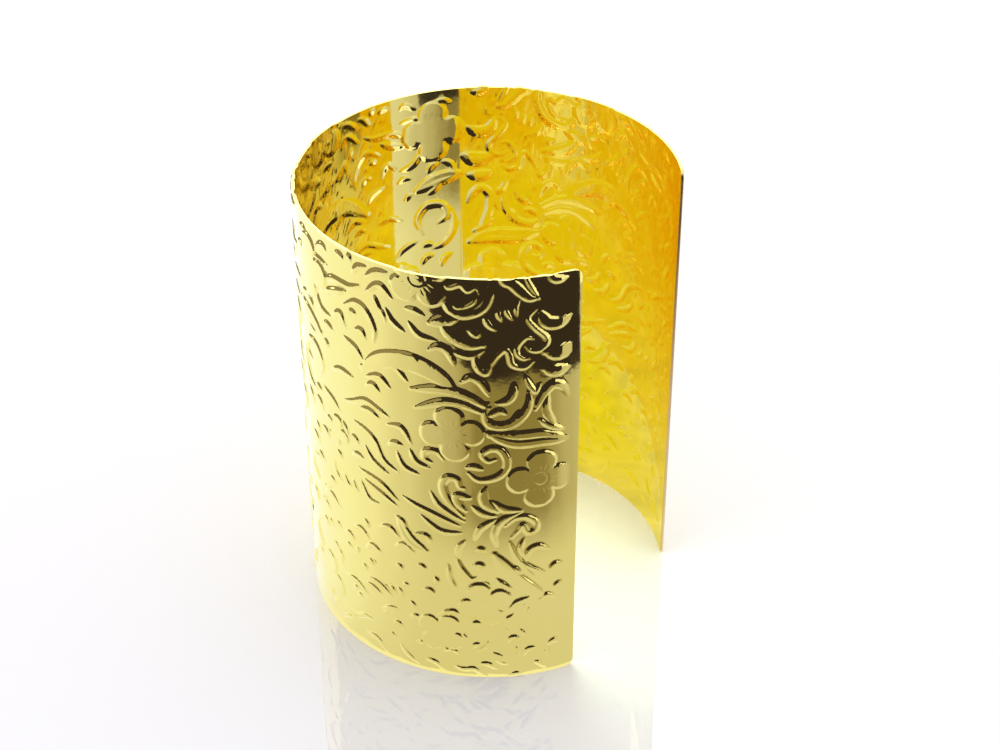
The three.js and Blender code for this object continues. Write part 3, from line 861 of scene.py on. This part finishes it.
def from_axis(tree):
    """Where a point lies from the ring's axis, as a way and as a distance."""
    place = add_node(tree, "ShaderNodeTexCoord").outputs["Object"]
    way = add_node(tree, "ShaderNodeVectorMath", {0: place, 1: (0, axis_y, 0)}, operation="SUBTRACT")
    distance = add_node(tree, "ShaderNodeVectorMath", {0: way.outputs[0]}, operation="LENGTH")
    return way.outputs[0], distance.outputs["Value"]


def scaled(tree, colour, level):
    return add_node(tree, "ShaderNodeVectorMath", {0: colour, "Scale": level}, operation="SCALE").outputs[0]


def floor_light(tree):
    """The lit floor as the wall mirrors it. Its level goes by the way from the ring and by distance."""
    way, distance = from_axis(tree)
    dim_way = (around(*dimmest_way, 0) - around(0, 0, 0)).normalized()
    along_way = add_node(tree, "ShaderNodeVectorMath", {0: way, 1: dim_way}, operation="DOT_PRODUCT")
    turn = math_node(tree, "ARCCOSINE", math_node(tree, "DIVIDE", along_way.outputs["Value"], distance))
    turned = math_node(tree, "DIVIDE", turn, math.pi)
    far_off = add_node(tree, "ShaderNodeMapRange", {
        "Value": distance, "From Min": outer_radius + near_reach, "From Max": outer_radius + far_reach})
    far_off.interpolation_type = "SMOOTHSTEP"
    mix = add_node(tree, "ShaderNodeMix", data_type="RGBA")
    near_light = ramp_of(tree, turned, near_levels, brightest)
    far_light = ramp_of(tree, turned, far_levels, brightest)
    for socket, value in (("Factor", far_off.outputs[0]), ("A", near_light), ("B", far_light)):
        tree.links.new(value, next(s for s in mix.inputs if s.name == socket and s.enabled))
    return scaled(tree, next(s for s in mix.outputs if s.enabled), brightest)


def inside_light(tree):
    """Painted light on the floor inside the ring: golden from the light that the gold wall throws on it,
    paler near the wall, and uneven where light gathers on it.
    """
    distance = from_axis(tree)[1]
    paleness = add_node(tree, "ShaderNodeMapRange", {
        "Value": distance, "From Min": 20 * MM, "From Max": outer_radius, "To Min": 0.05, "To Max": 0.3})
    level = add_node(tree, "ShaderNodeMapRange", {
        "Value": distance, "From Min": 16 * MM, "From Max": outer_radius, "To Min": 0.81, "To Max": 0.85})
    gathered = spread(tree, noise(tree, gathered_scale), 0.86, 1.1)
    # Painted light: the gold wall's light on the white floor inside, paler near the wall.
    gold_bounce_light = add_node(tree, "ShaderNodeCombineXYZ", {"X": 1.0, "Y": 0.9, "Z": paleness.outputs[0]})
    return scaled(tree, gold_bounce_light.outputs[0], math_node(tree, "MULTIPLY", level.outputs[0], gathered))


gathered_scale = 160
near_reach, far_reach = 27 * MM, 48 * MM
brightest = 1.8
dimmest_way = (0.19, -0.98)    # right of the ring's axis, and ahead of it
near_levels = (
    # share of the turn away from the dimmest way, level, warmth
    (0.0, 0.71, 0.0), (0.2, 0.72, 0.0), (0.27, 0.77, 0.0), (0.33, 0.83, -0.05), (0.4, 0.93, -0.1),
    (0.5, 1.0, -0.15), (0.7, 1.05, -0.25), (1.0, 1.2, -0.3))
far_levels = (
    # share of the turn away from the dimmest way, level, warmth
    (0.0, 0.26, 0.5), (0.09, 0.27, 0.5), (0.12, 0.38, 0.35), (0.165, 0.5, 0.2), (0.22, 0.6, 0.1),
    (0.3, 0.74, 0.0), (0.42, 0.93, -0.1), (0.55, 1.0, -0.2), (0.7, 1.05, -0.25), (0.85, 1.2, -0.3),
    (1.0, 1.3, -0.35))

floor_finish = bpy.data.materials.new("white_floor")
floor_finish.use_nodes = True
floor_shader = floor_finish.node_tree.nodes["Principled BSDF"]
floor_shader.inputs["Base Color"].default_value = (0.885, 0.872, 0.93, 1)
floor_shader.inputs["Roughness"].default_value = 0.02
floor_shader.inputs["Specular IOR Level"].default_value = 0.9
half_floor = 3000
floor_corners = [(x * half_floor, y * half_floor, 0) for x, y in ((-1, -1), (1, -1), (1, 1), (-1, 1))]
floor = card("floor", floor_corners, floor_finish, seen=True)
floor.visible_glossy = False

# %% The cards that the metal mirrors
# Places are millimetres to the right of the ring's axis and ahead of it, as the camera has them.
opening_edge = [(-82, -123), (-42, -122), (-2, -118), (44, -112), (89, -78)]
opening_left, opening_right, opening_far_right = (-260, -123), (112, -98), (420, -330)
lit_edge = [(-160, -112), (-190, 0), (-160, 112), (0, 190)]
lit_right, lit_behind, dim_behind = (420, 0), (260, 300), (-400, 700)
front_left, front_right = (-560, -760), (640, -760)
left_near, left_far = (-900, -300), (-900, 300)
right_near, right_far = (300, -250), (340, 120)
back_left, back_right = (-1500, 520), (1500, 520)
front_height, left_height, back_height = 700, 450, 900
right_low, right_high, back_low = -260, -12, -60
inside_radius, foot_radius, glow_radius = 31, 31.2, 32.2


def lying(name, outline, depth, material):
    """A card that lies a little below the floor that the camera sees."""
    card(name, [(*place, -depth) for place in outline], material)


def standing(name, first, last, low, high, material):
    """An upright card between two places."""
    card(name, ((*first, low), (*last, low), (*last, high), (*first, high)), material)


def circle(radius, step):
    """Places clockwise round the axis, from the right and back to there, a step of degrees apart."""
    return [(radius * math.cos(a), radius * math.sin(a)) for a in np.radians(range(0, -365, -step))]


black = glow("dark_room_card", (0.035, 0.026, 0.032))
dim = glow("dim_room_card", (0.3, 0.26, 0.22))
lit = glow("lit_floor_card", floor_light)
foot_glow = glow("bright_foot_card", (0.98, 1.0, 1.04))
wall_foot = circle(foot_radius, 15)
dark_outline = [opening_left, *opening_edge, opening_right, opening_far_right, front_right, front_left]
dim_outline = [lit_edge[0], opening_left, front_left, left_near, left_far, dim_behind, *lit_edge[:0:-1]]
lit_outline = [lit_right, opening_right, *opening_edge[::-1], *lit_edge, lit_behind, lit_right]
lying("dark_floor", dark_outline, 0.6, black)
lying("dim_floor", dim_outline, 0.5, dim)
lying("lit_floor", lit_outline + wall_foot[::-1], 0.4, lit)
lying("bright_foot", circle(glow_radius, 15) + wall_foot[::-1], 0.3, foot_glow)
# Painted light: the floor inside the ring glows golden and stands for the light that the gold wall throws
# on it.
lying("floor_inside", circle(inside_radius, 5)[:-1], 0.4, glow("gold_bounce_light_card", inside_light))
standing("dark_front", front_left, front_right, 0, front_height, black)
standing("dim_left", front_left, left_near, 0, left_height, dim)
standing("dim_far_left", left_near, left_far, 0, left_height, dim)
standing("right_light", right_near, right_far, right_low, right_high, glow("bright_card", (1.3, 1.3, 1.3)))
standing("backdrop", back_left, back_right, back_low, back_height, glow("backdrop_card", (2.2, 2.2, 2.2)))

# %% Soft light all round, and two lamps
world = bpy.data.worlds.new("white_box")
bpy.context.scene.world = world
world.use_nodes = True
world.node_tree.nodes["Background"].inputs["Color"].default_value = (1, 1, 1, 1)
world.node_tree.nodes["Background"].inputs["Strength"].default_value = 1.0


def lamp(name, place, target, size, energy, colour=(1, 1, 1), mirrored=True):
    data = bpy.data.lights.new(name, "AREA")
    data.shape = "RECTANGLE"
    data.size, data.size_y = size
    data.energy = energy
    data.color = colour
    piece = bpy.data.objects.new(name, data)
    piece.location = around(*place)
    piece.rotation_euler = (around(*target) - piece.location).to_track_quat("-Z", "Y").to_euler()
    piece.visible_glossy = mirrored
    bpy.context.scene.collection.objects.link(piece)


# The second lamp stands for the light that the bright inner wall gathers on the floor in the gap.
lamp("overhead", place=(-60, 280, 520), target=(-40, 60, 0), size=(0.13, 0.1), energy=0.05)
lamp("gathered_light", place=(2, -6, 34), target=(6, -16, 0), size=(0.03, 0.03), energy=0.016,
     colour=(0.85, 1.0, 0.6), mirrored=False)

# %% [markdown]
# Deep gold inside the ring comes from light that bounces from wall to wall, so the render follows a
# mirror ray through many bounces. Plain view settings keep the white box white.

# %% Light bounces and tone
scene = bpy.context.scene
scene.cycles.max_bounces = 16
scene.cycles.glossy_bounces = 12
scene.cycles.use_denoising = True
scene.view_settings.view_transform = "Standard"
scene.view_settings.look = "None"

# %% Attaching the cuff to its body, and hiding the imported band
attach(cuff, "root")
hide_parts("cuff_band")
